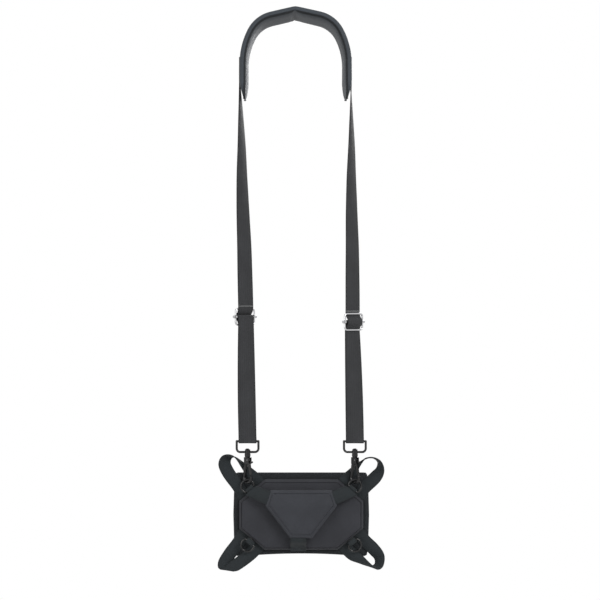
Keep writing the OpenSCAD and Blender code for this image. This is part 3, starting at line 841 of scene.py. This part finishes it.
def foot_dip(p):
    """The bottom edge bows up a little between the corners."""
    low = panel_mid.z - 45 * MM
    if p.y > low:
        return p
    share = 1 - min(1, abs(p.x - panel_mid.x) / (80 * MM)) ** 2
    return Vector((p.x, p.y + 3.5 * MM * share * min(1, (low - p.y) / (12 * MM))))


def build_border():
    rings = []
    back = panel_high.y
    for d, y in ((0.5, base_y + 1.4 * MM), (0.0, base_y + 0.6 * MM), (0.8, base_y - 0.4 * MM),
                 (3.0, base_y - 0.7 * MM), (6.4, base_y - 0.5 * MM), (7.2, base_y - 0.2 * MM),
                 (8.4, base_y - 0.1 * MM), (20.0, base_y - 0.05 * MM), (20.0, base_y + 0.6 * MM),
                 (7.4, back - 0.4 * MM), (6.8, back + 0.2 * MM), (2.0, back + 0.2 * MM)):
        loop = rounded_outline(panel_outline(d), 3.5 * MM, 5 * MM)
        rings.append([Vector((p.x, y, p.y)) for p in (foot_dip(q) for q in loop)])
    size = 160
    rings = [resample(r, size) for r in rings]
    verts = [v for r in rings for v in r]
    faces = []
    for i in range(len(rings)):
        j = (i + 1) % len(rings)
        for k in range(size):
            a, b = i * size + k, i * size + (k + 1) % size
            c, d = j * size + (k + 1) % size, j * size + k
            faces.append((a, b, c, d))
    uvs = []
    for i, ring in enumerate(rings):
        along = 0.0
        for k, v in enumerate(ring):
            along += (v - ring[k - 1]).length if k else 0
            uvs.append((i * 1.0 * MM, along))
    return make_mesh("border_tape", verts, faces, uvs, binding)


def resample(loop, count):
    total = [0.0]
    closed = loop + [loop[0]]
    for a, b in zip(closed, closed[1:]):
        total.append(total[-1] + (b - a).length)
    out, i = [], 0
    for k in range(count):
        want = total[-1] * k / count
        while total[i + 1] < want:
            i += 1
        share = (want - total[i]) / max(1e-9, total[i + 1] - total[i])
        out.append(closed[i].lerp(closed[i + 1], share))
    return out


border = build_border()
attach(border, "panel")
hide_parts("panel_binding")
for d in (6.0, 1.8):
    row = [Vector((p.x, base_y - 0.75 * MM, p.y)) for p in
           (foot_dip(q) for q in rounded_outline(panel_outline(d), 3.5 * MM, 5 * MM))]
    stitch_row(f"border_stitch_{int(d)}", row, (0, -1, 0), "panel")

# %% [markdown]
# ## Hand pad
# A hand slips between this pad and the panel. It is a thick stitched trapezoid, held by two arms at its
# slanted shoulders and a tab at its foot, so it stands proud of the panel and throws a shadow on it.

# %% Hand pad
hand_low, hand_high = (Vector(v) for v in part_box("hand_pad_cover"))
HAND = panel_points([(49.5, 16), (42.5, 37), (-42.5, 37), (-49.5, 16), (-15, -29), (15, -29)])
hand_loop = rounded_outline(HAND, 2.5 * MM, 3 * MM)
hand_pad = pillow("hand_pad_cushion", hand_loop, hand_low.y - 0.8 * MM, hand_high.y - 0.2 * MM,
                  2.6 * MM, 2.6 * MM, hand_cloth, groove=4.4 * MM)
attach(hand_pad, "hand_pad")
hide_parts("hand_pad_cover", "hand_pad_foam", "hand_pad_lining")
hand_row = [Vector((p.x, hand_low.y + 2.7 * MM, p.y)) for p in inset(hand_loop, 4.4 * MM)]
stitch_row("hand_pad_stitch", hand_row, (0, -1, 0), "hand_pad", spacing=2.4 * MM)

# %% [markdown]
# ## Elastic corner loops
# Two legs come out from under each chamfer, behind the ring, and meet in a fold beyond the corner.
# Every loop has its own set: the top right one has sprung round, the bottom ones are folded flat.

# %% Corner loops
CHAMFER_MID = Vector((68.75, 34.0))
CHAMFER_DIR = Vector((51 - 86.5, 49 - 19)).normalized()
CHAMFER_OUT = Vector((CHAMFER_DIR.y, -CHAMFER_DIR.x))
CHAMFER_ANGLE = math.degrees(math.atan2(CHAMFER_OUT.y, CHAMFER_OUT.x))
ELASTIC_W = 18.0


def leg_root(k):
    p = CHAMFER_MID + k * ELASTIC_W * 0.75 * CHAMFER_DIR + 0.4 * CHAMFER_OUT
    return (p.x, p.y, 0.8, CHAMFER_ANGLE - 90, 0)


SIDE_LEG, END_LEG = leg_root(-1), leg_root(1)
ROUTES = {
    "top_left": (-1, 1, [(90, 42, 0.8, -46, 0), (101, 57, 1.0, -38, 0), (107, 70, 1.4, -20, 0),
                         (104, 80, 3.4, 8, 30), (96, 82, 5.2, 30, 50), (86, 76, 4.6, 36, 40),
                         (74, 63, 1.6, 8, 6)]),
    "top_right": (1, 1, [(90, 39, 1.6, -48, 0), (103, 52, 4.6, -44, 20), (110, 63, 6, -20, 52),
                         (109, 74, 7, 20, 74), (100, 80, 7.6, 60, 80), (88, 78, 7, 72, 76),
                         (75, 66, 1.6, 20, 4)]),
    "bottom_left": (-1, -1, [(89, 41, 0.8, -40, 0), (99, 54, 1.0, -34, 0), (107, 67, 2.0, -20, 0),
                             (107, 75, 4.4, -8, 0), (101, 76.5, 6.4, -12, 0), (91, 70, 6.0, -34, 0),
                             (72, 56, 3.0, -44, 0)]),
    "bottom_right": (1, -1, [(90, 38, 1.4, -52, 0), (101, 48, 3.4, -50, 8), (109, 59, 3.6, -30, 30),
                             (108, 70, 5.4, 0, 50), (100, 73, 6.8, 10, 50), (88, 67, 5.4, -10, 34),
                             (72, 56, 3.0, -40, 6)]),
}


def loop_stations(sx, sy, route):
    out = []
    for x, z, forward, turn, lean in [SIDE_LEG, *route, END_LEG]:
        a, b = math.radians(turn), math.radians(lean)
        centre = Vector((panel_mid.x + sx * x * MM, base_y - forward * MM, panel_mid.z + sy * z * MM))
        out.append((centre, Vector((math.cos(a) * math.cos(b) * sx, -math.sin(b),
                                    math.sin(a) * math.cos(b) * sy))))
    return out


for corner, (sx, sy, route) in ROUTES.items():
    path = smooth_path(loop_stations(sx, sy, route), 8)
    loop = strip(corner + "_elastic", path, ELASTIC_W * MM, 1.4 * MM, elastic)
    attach(loop, "panel")
    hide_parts(corner + "_loop")

# %% [markdown]
# ## Ring tabs
# A short webbing tab is folded round the straight bar of each ring and sewn under the chamfer.

# %% Ring tabs
RING_WIRE, BAR_IN, RING_GAP = 2.6, 4.5, 4.5
TAB_R = RING_WIRE / 2 + 0.6 + 0.3


def ring_tab(corner, sx, sy):
    out = Vector((sx * CHAMFER_OUT.x, 0, sy * CHAMFER_OUT.y))
    along = Vector((-out.z, 0, out.x)) * (sx * sy)
    centre2 = CHAMFER_MID + (RING_GAP + BAR_IN) * CHAMFER_OUT
    centre = Vector((panel_mid.x + sx * centre2.x * MM, 0, panel_mid.z + sy * centre2.y * MM))
    end = -(BAR_IN + RING_GAP - 0.45)
    pairs = [(TAB_R + 1, end)] + [(TAB_R * math.cos(math.radians(a)),
                                   -BAR_IN + TAB_R * math.sin(math.radians(a)))
                                  for a in range(0, 181, 20)] + [(-TAB_R + 1.8, end)]
    path = [(centre + out * b * MM + Vector((0, a * MM, 0)), along) for a, b in pairs]
    tab = strip(corner + "_ring_tab", path, 12 * MM, 1.2 * MM, elastic)
    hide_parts(corner + "_tab")
    if corner == "top_left":
        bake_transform(tab)
    else:
        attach(tab, "panel")


for corner, (sx, sy, route) in ROUTES.items():
    ring_tab(corner, sx, sy)

# %% [markdown]
# ## Arms and foot tab
# The arms are webbing from the hand pad's shoulders out over the rings' tabs. They rise from the panel
# to the pad.

# %% Arms
def arm(name, side):
    node = name + "_hand_arm"
    y_pad, y_ring = (hand_low.y + hand_high.y) / 2, -TAB_R * MM - 1.45 * MM
    pad_z, ring_z = panel_mid.z + 26.5 * MM, panel_mid.z + 35.5 * MM
    ring_x = panel_mid.x + side * 70.0 * MM
    pad_x = panel_mid.x + side * 45.0 * MM
    stations = [((pad_x, y_pad, pad_z), (-side * 0.33, 0, 1)),
                ((pad_x * 0.72 + ring_x * 0.28, y_pad + 1.5 * MM, pad_z * 0.7 + ring_z * 0.3),
                 (-side * 0.45, 0, 1)),
                ((pad_x * 0.35 + ring_x * 0.65, y_pad + 6.0 * MM, pad_z * 0.35 + ring_z * 0.65),
                 (-side * 0.62, 0, 1)),
                ((ring_x, y_ring, ring_z), (-side * 0.8, 0, 0.7))]
    obj = strip(name + "_arm_webbing", smooth_path(stations, 8), 19 * MM, 1.3 * MM, elastic)
    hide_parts(node)
    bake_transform(obj)


for name, side in SIDES.items():
    arm(name, side)

foot_low, foot_high = (Vector(v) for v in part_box("hand_pad_foot_tab"))
foot_x = (foot_low.x + foot_high.x) / 2
y_mid = (hand_low.y + hand_high.y) / 2
foot = [((foot_x, y_mid, panel_mid.z - 29 * MM), (1, 0, 0)),
        ((foot_x, y_mid + 0.6 * MM, panel_mid.z - 34 * MM), (1, 0, 0)),
        ((foot_x, -4.4 * MM, panel_mid.z - 41 * MM), (1, 0, 0)),
        ((foot_x, -1.5 * MM, panel_mid.z - 44.5 * MM), (1, 0, 0)),
        ((foot_x, 1.2 * MM, panel_mid.z - 49.6 * MM), (1, 0, 0))]
foot_tab = strip("foot_tab_webbing", smooth_path(foot, 6), 22 * MM, 1.2 * MM, elastic)
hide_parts("hand_pad_foot_tab")
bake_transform(foot_tab)

# %% [markdown]
# ## Stage
# The object hangs in front of plain white. The floor and the world are white only to the camera and to
# glossy rays; the light on the object comes from soft lamps and a dimmer world, so the dark cloth keeps
# its colour.

# %% Floor, world and lamps
def light_path_mask(tree):
    path = add(tree, "ShaderNodeLightPath", -600)
    both = maths(tree, "MAXIMUM", path.outputs["Is Camera Ray"], path.outputs["Is Glossy Ray"])
    return maths(tree, "MAXIMUM", both, path.outputs["Is Transmission Ray"])


world = bpy.data.worlds.new("studio")
scene.world = world
world.use_nodes = True
tree = world.node_tree
tree.nodes.clear()
out = add(tree, "ShaderNodeOutputWorld", 400)
seen = add(tree, "ShaderNodeBackground", 0, 100)
seen.inputs["Color"].default_value = (1, 1, 1, 1)
lit = add(tree, "ShaderNodeBackground", 0, -100)
lit.inputs["Color"].default_value = (1, 1, 1, 1)
lit.inputs["Strength"].default_value = 0.5
mix = add(tree, "ShaderNodeMixShader", 200)
tree.links.new(light_path_mask(tree), mix.inputs["Fac"])
tree.links.new(lit.outputs[0], mix.inputs[1])
tree.links.new(seen.outputs[0], mix.inputs[2])
tree.links.new(mix.outputs[0], out.inputs["Surface"])

bpy.ops.object.select_all(action="DESELECT")
bpy.ops.mesh.primitive_plane_add(size=8, location=(0, 1.0, cad_bounds[0][2] - 0.06))
floor = bpy.context.object
floor.name = "floor"
floor_paint = bpy.data.materials.new("floor_paint")
floor_paint.use_nodes = True
tree = floor_paint.node_tree
shader = tree.nodes["Principled BSDF"]
shader.inputs["Base Color"].default_value = (0.45, 0.45, 0.45, 1)
glow = add(tree, "ShaderNodeEmission", 0, -200)
mix = add(tree, "ShaderNodeMixShader", 200)
tree.links.new(light_path_mask(tree), mix.inputs["Fac"])
tree.links.new(shader.outputs[0], mix.inputs[1])
tree.links.new(glow.outputs[0], mix.inputs[2])
tree.links.new(mix.outputs[0], tree.nodes["Material Output"].inputs["Surface"])
floor.data.materials.append(floor_paint)


def lamp(name, place, target, power, size):
    data = bpy.data.lights.new(name, "AREA")
    data.energy = power
    data.size = size
    obj = bpy.data.objects.new(name, data)
    scene.collection.objects.link(obj)
    obj.location = place
    obj.rotation_euler = (Vector(target) - Vector(place)).to_track_quat("-Z", "Y").to_euler()


lamp("key", (1.1, -1.5, 0.5), (0, 0, -0.45), 26, 0.9)
lamp("fill", (-1.4, -1.3, -0.2), (0, 0, -0.45), 12, 1.2)
lamp("back", (0.4, 1.4, 0.5), (0, 0, -0.4), 14, 1.0)
scene.view_settings.view_transform = "Standard"
